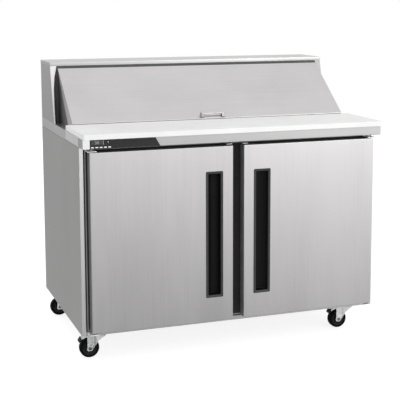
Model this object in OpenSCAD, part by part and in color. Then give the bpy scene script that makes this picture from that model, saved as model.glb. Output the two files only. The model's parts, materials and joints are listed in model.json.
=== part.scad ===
// Two-door refrigerated sandwich prep table on swivel casters.
// Units are millimetres. X is to the right, the doors face -Y, and Z is up from the floor.

/* [Overall] */
// Width over the worktop brackets
width = 1224; // [1000:1:1600]
// Depth from the cutting board front to the rear panel
depth = 800; // [700:1:900]
// Height of the cabinet underside above the floor
body_bottom = 106; // [100:1:160]
// Height of the worktop
deck_height = 862; // [800:1:950]
// Height of the overshelf top
shelf_height = 1109; // [1050:1:1250]
// Sheet thickness
sheet = 1.2; // [0.8:0.1:2]

/* [Cutting board] */
// Board depth, front to back
board_depth = 314; // [200:1:340]
// Board thickness
board_thick = 20; // [10:1:26]
// Board overhang past the cabinet face
board_overhang = 76; // [40:1:120]

/* [Doors] */
// Door width
door_width = 560; // [400:1:700]
// Bottom of the doors above the floor
door_bottom = 127; // [120:1:180]
// Top of the doors above the floor
door_top = 811; // [700:1:840]
// Door thickness without the gasket
door_thick = 40; // [30:1:60]
// Half of the gap between the two doors
door_gap_half = 22.5; // [5:0.5:40]
// Handle bezel width
handle_width = 70; // [50:1:100]
// Handle bezel height
handle_height = 495; // [200:1:600]
// Handle pocket depth
pocket_depth = 24; // [15:1:30]

/* [Lid] */
// Half of the lid width over its side skirts
lid_half = 582; // [400:1:600]
// Height of the lid's upper edge
lid_top = 1084; // [1000:1:1200]
// Position of the lid's upper edge, front to back
lid_rear = 180; // [100:1:250]

/* [Casters] */
// Wheel diameter
wheel_diameter = 76; // [60:1:125]
// Wheel width
wheel_width = 28; // [20:1:40]
// Horizontal offset from swivel axis to axle
trail = 40; // [20:1:60]
// Distance of the swivel axis from the cabinet's end
caster_inset_x = 81; // [50:0.5:150]
// Distance of the swivel axis from the cabinet's front and rear
caster_inset_y = 74; // [50:1:150]

/* [Interior] */
// Height of the wire shelves
wire_shelf_height = 420; // [200:5:600]
// Insulation thickness of the side walls
wall = 49; // [30:1:70]
// Pan depth
pan_depth = 100; // [60:5:150]

/* [Hidden] */
$fn = 48;

half = width / 2;
panel_x = half - 1;
inner_x = panel_x - sheet;
front = -depth / 2 + board_overhang;
back = depth / 2;
panel_back = back - sheet;
panel_top = 823.2;
deck_under = deck_height - sheet;
skirt_bottom = 824;
apron_front = front - 57;
apron_back = front + 7;
apron_bottom = 826;
board_front = -depth / 2;
board_back = board_front + board_depth;

flange = 15;
trim_back = front + 10;
rail_top = 122;
liner_x = inner_x - wall;
compartment = back - 178;
liner_back = compartment - 50;
floor_top = 150;

opening_x = 556;
opening_bottom = 156;
opening_top = 790;
mullion_half = 50;

door_out = door_gap_half + door_width;
door_back = front - 7;
door_front = door_back - door_thick;
hinge_x = door_out - 12.5;
hinge_y = front - 25;
pin_r = 4;
fit = 0.06;
gasket_inset = 10;
gasket_width = 14;
handle_x = 98.5;
handle_z = 468;
bezel = 14;

pan_x = 176.4;
pan_y = 162;
pan_center = 50;
pan_open_x = 521;
pan_open_y = 74;

lid_front = board_back + 2;
lid_low = 886;
pivot_y = lid_rear - 8;
pivot_z = lid_top - 16;
slope = atan2(lid_top - lid_low, lid_rear - lid_front);
lid_length = norm([lid_top - lid_low, lid_rear - lid_front]);
lid_pin_r = 3;
wall_x = lid_half - 4;

shelf_front = 195;
hood_y = shelf_front + 2.6;
shelf_lip = 15;
column_foot = 131;

swivel_x = panel_x - caster_inset_x;
swivel_front = front + caster_inset_y;
swivel_rear = back - caster_inset_y;
wheel_r = wheel_diameter / 2;
axle_r = 4;
leg_in = wheel_width / 2 + 2;
leg_t = 2.5;
pedal_pivot = [-28, 82];

fan_z = 650;
condenser_fan_pos = [230, 310, 250];
compressor_pos = [-300, 309, 118];

// Box between two opposite corners.
module box(a, b) {
  translate(a) cube(b - a);
}

// Both halves of something that is the same left and right.
module both() {
  children();
  mirror([1, 0, 0]) children();
}

// Cylinder along Y, starting at a point.
module rod_y(p, r, length) {
  translate(p) rotate([-90, 0, 0]) cylinder(r = r, h = length);
}

// Cylinder along X, starting at a point.
module rod_x(p, r, length) {
  translate(p) rotate([0, 90, 0]) cylinder(r = r, h = length);
}

// Profile given as [y, z] points, extruded along X from x0 to x1.
module profile_yz(x0, x1, points) {
  translate([x0, 0, 0]) rotate([90, 0, 90]) linear_extrude(height = x1 - x0) polygon(points);
}

// Profile given as [x, z] points, extruded along Y from y0 to y1.
module profile_xz(y0, y1, points) {
  translate([0, y1, 0]) rotate([90, 0, 0]) linear_extrude(height = y1 - y0) polygon(points);
}

// ---- Cabinet shell ----

module side_panel() {
  box([-panel_x, front, body_bottom], [-inner_x, panel_back, panel_top]);
  box([-panel_x, front, body_bottom], [-panel_x + flange, front + sheet, panel_top]);
}

module left_side_panel() {
  color("silver") side_panel();
}

module right_side_panel() {
  color("silver") mirror([1, 0, 0]) side_panel();
}

module bottom_panel() {
  color("silver") {
    box([-inner_x, front + sheet, body_bottom], [inner_x, panel_back, body_bottom + sheet]);
    box([-panel_x + flange, front, body_bottom], [panel_x - flange, front + sheet, rail_top]);
  }
}

module rear_panel() {
  color("silver") difference() {
    box([-panel_x, panel_back, body_bottom], [panel_x, back, panel_top]);
    for (x = [-430, -170, 90, 350], z = [180 : 24 : 420])
      box([x - 20, panel_back - 1, z], [x + 100, back + 1, z + 7]);
  }
}

module side_insulation() {
  box([-inner_x, trim_back, body_bottom + sheet], [-liner_x, compartment, skirt_bottom]);
}

module insulation_left() {
  color("khaki") side_insulation();
}

module insulation_right() {
  color("khaki") mirror([1, 0, 0]) side_insulation();
}

module insulation_floor() {
  color("khaki") box([-liner_x, trim_back, body_bottom + sheet], [liner_x, compartment, floor_top]);
}

module insulation_back() {
  color("khaki") box([-liner_x, liner_back, floor_top], [liner_x, compartment, skirt_bottom]);
}

module inner_liner() {
  color("gainsboro") {
    box([-liner_x, trim_back, floor_top], [liner_x, liner_back, floor_top + 1]);
    box([-liner_x, liner_back - 1, floor_top], [liner_x, liner_back, skirt_bottom]);
    both() box([-liner_x, trim_back, floor_top], [-liner_x + 1, liner_back, skirt_bottom]);
  }
}

module jamb_trim() {
  color([0.12, 0.12, 0.12]) difference() {
    box([-panel_x + flange, front, rail_top], [panel_x - flange, trim_back, skirt_bottom]);
    box([-opening_x, front - 1, opening_bottom], [opening_x, trim_back + 1, opening_top]);
  }
}

module center_mullion() {
  color([0.12, 0.12, 0.12])
    box([-mullion_half, front, opening_bottom], [mullion_half, front + 24, opening_top]);
}

// ---- Worktop ----

module worktop_insulation() {
  color("khaki") difference() {
    box([-608.6, front + sheet, skirt_bottom], [608.6, panel_back, deck_under]);
    box([-530, pan_center - 83, skirt_bottom - 1], [530, pan_center + 83, deck_under + 1]);
  }
}

module worktop_deck() {
  color("silver") {
    difference() {
      box([-panel_x, apron_back, deck_under], [panel_x, back, deck_height]);
      box([-pan_open_x, pan_center - pan_open_y, deck_under - 1],
          [pan_open_x, pan_center + pan_open_y, deck_height + 1]);
    }
    for (i = [-2 : 2])
      box([i * pan_x - 5, pan_center - pan_open_y, deck_height - 4],
          [i * pan_x + 5, pan_center + pan_open_y, deck_height]);
  }
}

module worktop_skirts() {
  color("silver") {
    both() {
      box([-panel_x, apron_back, skirt_bottom], [-inner_x, back, deck_under]);
      box([-half, apron_back, 830], [-panel_x, board_back - 4, deck_height]);
    }
    box([-inner_x, panel_back, skirt_bottom], [inner_x, back, deck_under]);
  }
}

module front_apron() {
  color("silver") {
    box([-half + 2, apron_front, apron_bottom], [half - 2, apron_front + sheet, deck_height]);
    box([-half + 2, apron_front, deck_under], [half - 2, apron_back, deck_height]);
    box([-half + 2, apron_front, apron_bottom], [half - 2, front - 1, apron_bottom + sheet]);
    both() box([-half + 2, apron_front, apron_bottom], [-half + 2 + sheet, front - 1, deck_height]);
    both() box([-half + 2, front - 1, apron_bottom], [-half + 2 + sheet, apron_back, deck_height]);
  }
}

module control_overlay() {
  color([0.05, 0.05, 0.06]) profile_xz(apron_front - 1.5, apron_front,
    [[-583, 827], [-316, 827], [-335, 860], [-583, 860]]);
}

// Sixth-size food pan with a flat rim and tapered walls.
module pan(i) {
  x = (i - 3.5) * pan_x;
  color("lightgray") translate([x, pan_center, deck_height]) difference() {
    union() {
      translate([-88, -81, 0]) cube([176, 162, sheet]);
      pan_body(0);
    }
    pan_body(1);
  }
}

// Solid pan body, shrunk by a wall thickness for the inside.
module pan_body(t) {
  top = [156 - 2 * t, 142 - 2 * t];
  low = [142 - 2 * t, 128 - 2 * t];
  deep = pan_depth - t;
  translate([0, 0, -deep]) intersection() {
    rotate([90, 0, 0]) linear_extrude(height = 200, center = true)
      polygon([[-low[0] / 2, 0], [low[0] / 2, 0], [top[0] / 2, deep],
               [top[0] / 2, deep + 2 * t + 0.1], [-top[0] / 2, deep + 2 * t + 0.1], [-top[0] / 2, deep]]);
    rotate([90, 0, 90]) linear_extrude(height = 200, center = true)
      polygon([[-low[1] / 2, 0], [low[1] / 2, 0], [top[1] / 2, deep],
               [top[1] / 2, deep + 2 * t + 0.1], [-top[1] / 2, deep + 2 * t + 0.1], [-top[1] / 2, deep]]);
  }
}

module pan_1() { pan(1); }
module pan_2() { pan(2); }
module pan_3() { pan(3); }
module pan_4() { pan(4); }
module pan_5() { pan(5); }
module pan_6() { pan(6); }

module cutting_board() {
  color("white") translate([0, 0, deck_height]) linear_extrude(height = board_thick) difference() {
    translate([-half + 1.5, board_front]) square([width - 3, board_depth]);
    both() translate([-half + 1.5, board_front]) difference() {
      translate([-1, -1]) square([7, 7]);
      translate([6, 6]) circle(r = 6);
    }
  }
}

// ---- Riser and hood ----

module column() {
  rise = shelf_height - shelf_lip - deck_height;
  lean = atan2(shelf_front + sheet - column_foot, rise);
  run = rise / cos(lean);
  profile_yz(-panel_x, -inner_x,
    [[column_foot, deck_height], [panel_back, deck_height], [panel_back, shelf_height - sheet],
     [shelf_front + sheet, shelf_height - sheet],
     [shelf_front + sheet, shelf_height - shelf_lip]]);
  translate([-panel_x, column_foot, deck_height]) rotate([90 - lean, 0, 0])
    translate([0, 0, -sheet]) intersection() {
      linear_extrude(height = sheet)
        polygon([[0, 0], [5, 0], [6, run * 0.3], [9, run * 0.6], [15, run * 0.8],
                 [22, run * 0.92], [26, run], [0, run]]);
      translate([0, 0.4, -1]) cube([40, run - 0.4, 4]);
    }
}

module left_column() {
  color("silver") column();
}

module right_column() {
  color("silver") mirror([1, 0, 0]) column();
}

module top_shelf() {
  low = shelf_height - shelf_lip;
  color("silver") {
    box([-half, shelf_front, shelf_height - sheet], [half, back, shelf_height]);
    box([-half, shelf_front, low], [half, shelf_front + sheet, shelf_height]);
    box([-half, panel_back, low], [half, back, shelf_height]);
    both() box([-half, shelf_front, low], [-panel_x, back, shelf_height]);
  }
}

module hood_shell() {
  color([0.16, 0.17, 0.18]) {
    box([-inner_x, hood_y, deck_height], [inner_x, hood_y + 2, shelf_height - sheet]);
    both() difference() {
      union() {
        profile_yz(-wall_x, -wall_x + 6,
          [[lid_front + 14, deck_height], [hood_y, deck_height], [hood_y, 1030],
           [pivot_y, 1044], [pivot_y, pivot_z], [pivot_y - 8, pivot_z - 3],
           [lid_front + 14, lid_low - 2]]);
        rod_x([-wall_x, pivot_y, pivot_z], 6, 6);
      }
      rod_x([-wall_x - 1, pivot_y, pivot_z], lid_pin_r + fit, 8);
    }
  }
}

module riser_rear_cover() {
  color("silver") difference() {
    box([-inner_x, panel_back - sheet, deck_height], [inner_x, panel_back, shelf_height - sheet]);
    for (x = [-450, 300], z = [920 : 20 : 1020])
      box([x, panel_back - 3, z], [x + 150, back, z + 6]);
  }
}

// ---- Lid ----

// Places children in the lid's own slope: X along the width, Y down the slope, Z outward.
module on_slope() {
  translate([0, lid_rear, lid_top]) rotate([slope, 0, 0]) mirror([0, 1, 0]) children();
}

module lid_panel() {
  color("silver") {
    on_slope() box([-lid_half, 0, -sheet], [lid_half, lid_length, 0]);
    box([-lid_half, lid_front, lid_low - 3], [lid_half, lid_front + sheet, lid_low]);
    both() difference() {
      profile_yz(-lid_half, -lid_half + sheet,
        [[lid_front, lid_low - 3], [lid_front + 18, 864], [-8, 866], [lid_rear - 1, 1060],
         [lid_rear, lid_top], [lid_front, lid_low]]);
      rod_x([-lid_half - 1, pivot_y, pivot_z], lid_pin_r, 4);
    }
    both() rod_x([-lid_half, pivot_y, pivot_z], lid_pin_r, 11);
  }
}

module lid_liner() {
  color("gainsboro") on_slope() box([-wall_x + 9, 34, -17], [wall_x - 9, lid_length - 14, -sheet]);
}

module lid_handle() {
  color("silver") on_slope() {
    box([-53, lid_length - 34, 13.5], [53, lid_length - 10.5, 16]);
    both() box([-53, lid_length - 34, 0], [-50.5, lid_length - 10.5, 16]);
  }
}

// ---- Interior fittings ----

module wire_shelf() {
  z = wire_shelf_height;
  x0 = -552;
  x1 = -8;
  y0 = front + 32;
  y1 = liner_back - 12;
  box([x0, y0, z], [x1, y0 + 5, z + 5]);
  box([x0, y1 - 5, z], [x1, y1, z + 5]);
  box([x0, y0, z], [x0 + 5, y1, z + 5]);
  box([x1 - 5, y0, z], [x1, y1, z + 5]);
  box([x0, (y0 + y1) / 2 - 2, z], [x1, (y0 + y1) / 2 + 2, z + 4]);
  for (i = [1 : 20])
    box([x0 + i * 26, y0 + 1, z + 2], [x0 + i * 26 + 3, y1 - 1, z + 5]);
}

module left_wire_shelf() {
  color("whitesmoke") wire_shelf();
}

module right_wire_shelf() {
  color("whitesmoke") mirror([1, 0, 0]) wire_shelf();
}

module shelf_standards() {
  z = wire_shelf_height;
  color("gray") {
    both() for (y = [-250, 110]) {
      box([-liner_x + 1, y - 8, 170], [-liner_x + 3, y + 8, 740]);
      box([-liner_x + 3, y - 6, z - 6], [-542, y + 6, z]);
    }
    box([-10, front + 24, 170], [10, front + 26, 740]);
    box([-18, front + 26, z - 6], [18, front + 42, z]);
    box([-10, liner_back - 3, 170], [10, liner_back - 1, 550]);
    box([-18, liner_back - 30, z - 6], [18, liner_back - 3, z]);
  }
}

module evaporator_housing() {
  y0 = liner_back - 75;
  y1 = liner_back - 1;
  color("lightgray") {
    difference() {
      box([-220, y0, 560], [220, y1, 740]);
      box([-218, y0 + 2, 562], [218, y1 + 1, 738]);
      rod_y([0, y0 - 1, fan_z], 64, 5);
      for (x = [-200, -150, 110, 160], z = [590 : 24 : 710])
        box([x, y0 - 1, z], [x + 36, y0 + 3, z + 8]);
    }
    rod_y([0, y0 + 34, fan_z], 22, 74 - 34);
    rod_y([0, y0 + 8, fan_z], 3, 30);
    box([-205, y0 + 44, 566], [-60, y1, 734]);
    box([60, y0 + 44, 566], [205, y1, 734]);
  }
}

// Bladed fan wheel on an axis along Y, centred on its bore.
module fan_wheel(r, hub, h, bore, blades) {
  difference() {
    union() {
      rod_y([0, 0, 0], hub, h);
      for (i = [0 : blades - 1])
        rotate([0, i * 360 / blades, 0]) rotate([0, 0, 22])
          box([-r * 0.22, h / 2 - 1, hub - 2], [r * 0.22, h / 2 + 1, r - 4]);
    }
    rod_y([0, -1, 0], bore, h + 2);
  }
}

module evaporator_fan() {
  color([0.2, 0.2, 0.2]) translate([0, liner_back - 75 + 12, fan_z])
    fan_wheel(60, 14, 16, 3 + fit, 5);
}

module compressor() {
  color([0.08, 0.08, 0.09]) translate(compressor_pos) {
    rotate_extrude() polygon([[0, 8], [58, 8], [66, 18], [66, 120], [58, 142], [38, 158], [0, 164]]);
    for (x = [-60, 60], y = [-50, 50])
      translate([x, y, body_bottom + sheet - compressor_pos[2]]) cylinder(r = 12, h = 20);
    translate([-72, -62, 2]) cube([144, 124, 6]);
  }
}

module condenser_unit() {
  p = condenser_fan_pos;
  foot = body_bottom + sheet;
  color("gray") {
    difference() {
      box([p[0] - 130, 232, foot], [p[0] + 130, 272, foot + 262]);
      for (z = [foot + 12 : 10 : foot + 252])
        box([p[0] - 126, 231, z], [p[0] + 126, 268, z + 6]);
    }
    difference() {
      box([p[0] - 130, 272, foot], [p[0] + 130, 275, foot + 262]);
      rod_y([p[0], 271, p[2]], 100, 5);
    }
    rod_y([p[0], 330, p[2]], 26, 40);
    rod_y([p[0], 304, p[2]], 3, 30);
    box([p[0] - 20, 336, foot], [p[0] + 20, 339, p[2] - 20]);
    box([p[0] - 130, 232, foot], [p[0] + 130, 345, foot + 2]);
  }
}

module condenser_fan() {
  p = condenser_fan_pos;
  color([0.2, 0.2, 0.2]) translate([p[0], 306, p[2]]) fan_wheel(94, 18, 18, 3 + fit, 5);
}

// ---- Doors ----

// Plate that holds one end of a door's pivot pin.
module hinge_plate(z) {
  box([-hinge_x - 20, door_front - 1, z], [-hinge_x + 14, front, z + 3]);
}

module hinge_brackets() {
  color("lightgray") {
    both() difference() {
      union() {
        hinge_plate(door_top + 2.5);
        hinge_plate(door_bottom - 5.5);
        box([-hinge_x - 20, front - 2, door_top + 2.5], [-hinge_x + 14, front, 823]);
        box([-hinge_x - 20, front - 2, 110], [-hinge_x + 14, front, door_bottom - 2.5]);
      }
      translate([-hinge_x, hinge_y, 100]) cylinder(r = pin_r, h = 800);
    }
    box([-44, front - 34, door_top + 4], [-22, front, door_top + 6]);
    box([22, front - 34, door_top + 4], [44, front, door_top + 6]);
  }
}

module hinge_pins() {
  color("gray") both() translate([-hinge_x, hinge_y, 0]) {
    translate([0, 0, door_top - 17]) cylinder(r = pin_r, h = 22.5);
    translate([0, 0, door_top + 5.5]) cylinder(r = 7, h = 3);
    translate([0, 0, door_bottom - 5.5]) cylinder(r = pin_r, h = 22.5);
    translate([0, 0, door_bottom - 8.5]) cylinder(r = 7, h = 3);
  }
}

// The space that the pocket handle takes out of a left-hand door.
module handle_hole(grow) {
  w = handle_width / 2 - 4 + grow;
  h = handle_height / 2 - 4 + grow;
  box([-handle_x - w, door_front - 1, handle_z - h],
      [-handle_x + w, door_front + pocket_depth + 2 + grow, handle_z + h]);
}

module door_skin() {
  color("silver") difference() {
    box([-door_out, door_front, door_bottom], [-door_gap_half, door_front + 6, door_top]);
    box([-door_out + 1, door_front + 1, door_bottom + 1],
        [-door_gap_half - 1, door_front + 7, door_top - 1]);
    handle_hole(0);
  }
}

module door_core() {
  color([0.13, 0.13, 0.13]) difference() {
    union() {
      box([-door_out + 1, door_front + 1, door_bottom + 1],
          [-door_gap_half - 1, door_front + 6, door_top - 1]);
      box([-door_out, door_front + 6, door_bottom], [-door_gap_half, door_back, door_top]);
    }
    handle_hole(0);
    translate([-hinge_x, hinge_y, door_bottom - 1]) cylinder(r = pin_r + fit, h = 20);
    translate([-hinge_x, hinge_y, door_top - 19]) cylinder(r = pin_r + fit, h = 20);
  }
}

module door_gasket() {
  a = gasket_inset;
  b = gasket_inset + gasket_width;
  color([0.3, 0.3, 0.31]) difference() {
    box([-door_out + a, door_back, door_bottom + a], [-door_gap_half - a, front - 0.5, door_top - a]);
    box([-door_out + b, door_back - 1, door_bottom + b], [-door_gap_half - b, front, door_top - b]);
  }
}

module door_handle() {
  w = handle_width / 2;
  h = handle_height / 2;
  color([0.05, 0.05, 0.05]) difference() {
    union() {
      box([-handle_x - w, door_front - 2, handle_z - h], [-handle_x + w, door_front, handle_z + h]);
      box([-handle_x - w + 4, door_front, handle_z - h + 4],
          [-handle_x + w - 4, door_front + pocket_depth + 2, handle_z + h - 4]);
    }
    box([-handle_x - w + bezel + 3, door_front - 3, handle_z - h + bezel],
        [-handle_x + w - bezel, door_front + pocket_depth, handle_z + h - bezel]);
  }
}

module left_door_skin() { door_skin(); }
module left_door_core() { door_core(); }
module left_door_gasket() { door_gasket(); }
module left_door_handle() { door_handle(); }
module right_door_skin() { mirror([1, 0, 0]) door_skin(); }
module right_door_core() { mirror([1, 0, 0]) door_core(); }
module right_door_gasket() { mirror([1, 0, 0]) door_gasket(); }
module right_door_handle() { mirror([1, 0, 0]) door_handle(); }

// ---- Casters ----

module caster_plate() {
  difference() {
    translate([-48, -38, body_bottom - 3]) cube([96, 76, 3]);
    for (x = [-38, 38], y = [-28, 28])
      translate([x, y, body_bottom - 4]) cylinder(r = 3.4, h = 5);
  }
  translate([0, 0, 98]) cylinder(r = 24, h = body_bottom - 3 - 98);
  translate([0, 0, 84]) cylinder(r = 5, h = 14);
  for (x = [-38, 38], y = [-28, 28])
    translate([x, y, body_bottom - 7]) cylinder(r = 6, h = 4);
}

module caster_plates() {
  color("lightgray")
    for (x = [-swivel_x, swivel_x], y = [swivel_front, swivel_rear])
      translate([x, y, 0]) caster_plate();
}

// Swivel fork with its axle bolt; the wheel trails toward -X.
module fork(brake) {
  reach = leg_in + leg_t;
  difference() {
    union() {
      translate([0, 0, 87]) cylinder(r = 27, h = 10.7);
      translate([-34, -reach, 87]) cube([58, 2 * reach, 2.5]);
      for (y = [-reach, leg_in])
        profile_xz(y, y + leg_t,
          [[-trail - 10, 89], [24, 89], [24, 84], [-trail + 34, 66], [-trail + 25, 52],
           [-trail + 12, 34], [-trail + 8, 27], [-trail - 8, 27], [-trail - 12, 34],
           [-trail - 10, 46]]);
      rod_y([-trail, -reach, wheel_r], axle_r, 2 * reach);
      for (y = [-reach - 4, reach])
        translate([-trail, y + 4, wheel_r]) rotate([90, 0, 0]) cylinder(r = 7.5, h = 4, $fn = 6);
      if (brake) rod_y([pedal_pivot[0], -reach - 1.5, pedal_pivot[1]], 2.5, 2 * reach + 3);
    }
    translate([0, 0, 80]) cylinder(r = 5 + fit, h = 30);
  }
}

module caster_wheel() {
  translate([-trail, 0, wheel_r]) rotate([90, 0, 0]) rotate_extrude() difference() {
    polygon([[axle_r + fit, -wheel_width / 2 - 1.5], [11, -wheel_width / 2 - 1.5],
             [12, -wheel_width / 2 + 3], [27, -wheel_width / 2 + 3], [29, -wheel_width / 2],
             [wheel_r - 3, -wheel_width / 2], [wheel_r, -wheel_width / 2 + 4],
             [wheel_r, wheel_width / 2 - 4], [wheel_r - 3, wheel_width / 2],
             [29, wheel_width / 2], [27, wheel_width / 2 - 3], [12, wheel_width / 2 - 3],
             [11, wheel_width / 2 + 1.5], [axle_r + fit, wheel_width / 2 + 1.5]]);
  }
}

module brake_pedal() {
  difference() {
    union() {
      profile_xz(-14.5, 14.5,
        [[-26, 86], [-46, 87.5], [-60, 86], [-73, 79], [-81.5, 68], [-81.5, 62], [-79, 64.5],
         [-70, 74], [-56, 81], [-45, 82.5], [-30, 79]]);
      rod_y([pedal_pivot[0], -14.5, pedal_pivot[1]], 4.6, 29);
    }
    rod_y([pedal_pivot[0], -16, pedal_pivot[1]], 2.5 + fit, 32);
    translate([0, 0, 86]) cylinder(r = 28, h = 12);
  }
}

module at_caster(x, y) {
  translate([x, y, 0]) children();
}

module fork_front_left() { color("gray") at_caster(-swivel_x, swivel_front) fork(true); }
module fork_front_right() { color("gray") at_caster(swivel_x, swivel_front) fork(true); }
module fork_rear_left() { color("gray") at_caster(-swivel_x, swivel_rear) fork(false); }
module fork_rear_right() { color("gray") at_caster(swivel_x, swivel_rear) fork(false); }
module wheel_front_left() { color([0.08, 0.08, 0.08]) at_caster(-swivel_x, swivel_front) caster_wheel(); }
module wheel_front_right() { color([0.08, 0.08, 0.08]) at_caster(swivel_x, swivel_front) caster_wheel(); }
module wheel_rear_left() { color([0.08, 0.08, 0.08]) at_caster(-swivel_x, swivel_rear) caster_wheel(); }
module wheel_rear_right() { color([0.08, 0.08, 0.08]) at_caster(swivel_x, swivel_rear) caster_wheel(); }
module brake_left() { color([0.06, 0.06, 0.06]) at_caster(-swivel_x, swivel_front) brake_pedal(); }
module brake_right() { color([0.06, 0.06, 0.06]) at_caster(swivel_x, swivel_front) brake_pedal(); }

left_side_panel();
right_side_panel();
bottom_panel();
rear_panel();
insulation_left();
insulation_right();
insulation_floor();
insulation_back();
inner_liner();
jamb_trim();
center_mullion();
worktop_insulation();
worktop_deck();
worktop_skirts();
front_apron();
control_overlay();
pan_1();
pan_2();
pan_3();
pan_4();
pan_5();
pan_6();
left_column();
right_column();
top_shelf();
hood_shell();
riser_rear_cover();
left_wire_shelf();
right_wire_shelf();
shelf_standards();
evaporator_housing();
evaporator_fan();
compressor();
condenser_unit();
condenser_fan();
hinge_brackets();
hinge_pins();
left_door_skin();
left_door_core();
left_door_gasket();
left_door_handle();
right_door_skin();
right_door_core();
right_door_gasket();
right_door_handle();
lid_panel();
lid_liner();
lid_handle();
cutting_board();
caster_plates();
fork_front_left();
fork_front_right();
fork_rear_left();
fork_rear_right();
wheel_front_left();
wheel_front_right();
wheel_rear_left();
wheel_rear_right();
brake_left();
brake_right();
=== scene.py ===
import json
import math

import bmesh
import bpy
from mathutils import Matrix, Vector

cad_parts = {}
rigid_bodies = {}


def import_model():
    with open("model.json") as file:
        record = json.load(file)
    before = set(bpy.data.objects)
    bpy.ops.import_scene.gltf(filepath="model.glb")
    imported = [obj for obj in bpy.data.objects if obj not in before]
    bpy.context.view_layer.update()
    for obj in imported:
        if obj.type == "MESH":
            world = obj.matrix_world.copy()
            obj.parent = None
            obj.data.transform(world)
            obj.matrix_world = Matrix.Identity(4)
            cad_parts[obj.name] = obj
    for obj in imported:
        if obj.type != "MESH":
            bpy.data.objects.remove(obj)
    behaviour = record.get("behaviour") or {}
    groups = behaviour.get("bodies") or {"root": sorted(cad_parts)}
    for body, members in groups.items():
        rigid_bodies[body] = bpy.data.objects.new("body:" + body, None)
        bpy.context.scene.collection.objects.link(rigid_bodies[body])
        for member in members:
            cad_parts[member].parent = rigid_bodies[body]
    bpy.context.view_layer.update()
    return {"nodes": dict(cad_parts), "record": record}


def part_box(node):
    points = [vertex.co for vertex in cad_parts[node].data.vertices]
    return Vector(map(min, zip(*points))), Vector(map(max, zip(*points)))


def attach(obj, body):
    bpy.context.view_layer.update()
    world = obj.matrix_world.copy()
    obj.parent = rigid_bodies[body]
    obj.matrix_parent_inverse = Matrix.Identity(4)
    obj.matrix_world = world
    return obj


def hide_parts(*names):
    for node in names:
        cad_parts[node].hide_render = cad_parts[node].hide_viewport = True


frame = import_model()
scene = bpy.context.scene
MM = 0.001
GAUGE = 1.2  # sheet steel

# ---------------------------------------------------------------- materials


class Mat:
    """A Principled material with a few short ways to wire procedural detail."""

    def __init__(self, name, color, rough, metal=0.0, **sockets):
        self.m = bpy.data.materials.new(name)
        self.m.use_nodes = True
        self.nt = self.m.node_tree
        self.b = self.nt.nodes["Principled BSDF"]
        self.b.inputs["Base Color"].default_value = (*color, 1)
        self.b.inputs["Roughness"].default_value = rough
        self.b.inputs["Metallic"].default_value = metal
        for k, v in sockets.items():
            self.b.inputs[k.replace("_", " ")].default_value = v
        self.rough = rough
        self.coord = self.node("ShaderNodeTexCoord").outputs["Object"]

    def node(self, kind, **props):
        n = self.nt.nodes.new(kind)
        for k, v in props.items():
            setattr(n, k, v)
        return n

    def link(self, a, b):
        self.nt.links.new(a, b)

    def mapped(self, scale):
        n = self.node("ShaderNodeMapping")
        n.inputs["Scale"].default_value = scale
        self.link(self.coord, n.inputs["Vector"])
        return n.outputs["Vector"]

    def noise(self, scale, stretch=(1, 1, 1), detail=3.0, rough=0.5):
        n = self.node("ShaderNodeTexNoise")
        n.inputs["Scale"].default_value = scale
        n.inputs["Detail"].default_value = detail
        n.inputs["Roughness"].default_value = rough
        self.link(self.mapped(stretch), n.inputs["Vector"])
        return n.outputs["Fac"]

    def cells(self, scale, stretch=(1, 1, 1), out="Color"):
        n = self.node("ShaderNodeTexVoronoi")
        n.inputs["Scale"].default_value = scale
        self.link(self.mapped(stretch), n.inputs["Vector"])
        return n.outputs[out]

    def remap(self, fac, lo, hi, from_lo=0.3, from_hi=0.7):
        n = self.node("ShaderNodeMapRange")
        n.inputs["From Min"].default_value = from_lo
        n.inputs["From Max"].default_value = from_hi
        n.inputs["To Min"].default_value = lo
        n.inputs["To Max"].default_value = hi
        self.link(fac, n.inputs["Value"])
        return n.outputs["Result"]

    def tint(self, fac, a, b, lo=0.3, hi=0.7):
        n = self.node("ShaderNodeValToRGB")
        n.color_ramp.elements[0].position = lo
        n.color_ramp.elements[0].color = (*a, 1)
        n.color_ramp.elements[1].position = hi
        n.color_ramp.elements[1].color = (*b, 1)
        self.link(fac, n.inputs["Fac"])
        self.link(n.outputs["Color"], self.b.inputs["Base Color"])

    def roughness(self, fac, spread, lo=0.3, hi=0.7):
        self.link(self.remap(fac, self.rough - spread, self.rough + spread, lo, hi),
                  self.b.inputs["Roughness"])

    def bump(self, *layers):
        last = None
        for fac, depth in layers:
            n = self.node("ShaderNodeBump")
            n.inputs["Distance"].default_value = depth
            self.link(fac, n.inputs["Height"])
            if last:
                self.link(last, n.inputs["Normal"])
            last = n.outputs["Normal"]
        self.link(last, self.b.inputs["Normal"])


def shade(c, k):
    return tuple(v * k for v in c)


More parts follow.
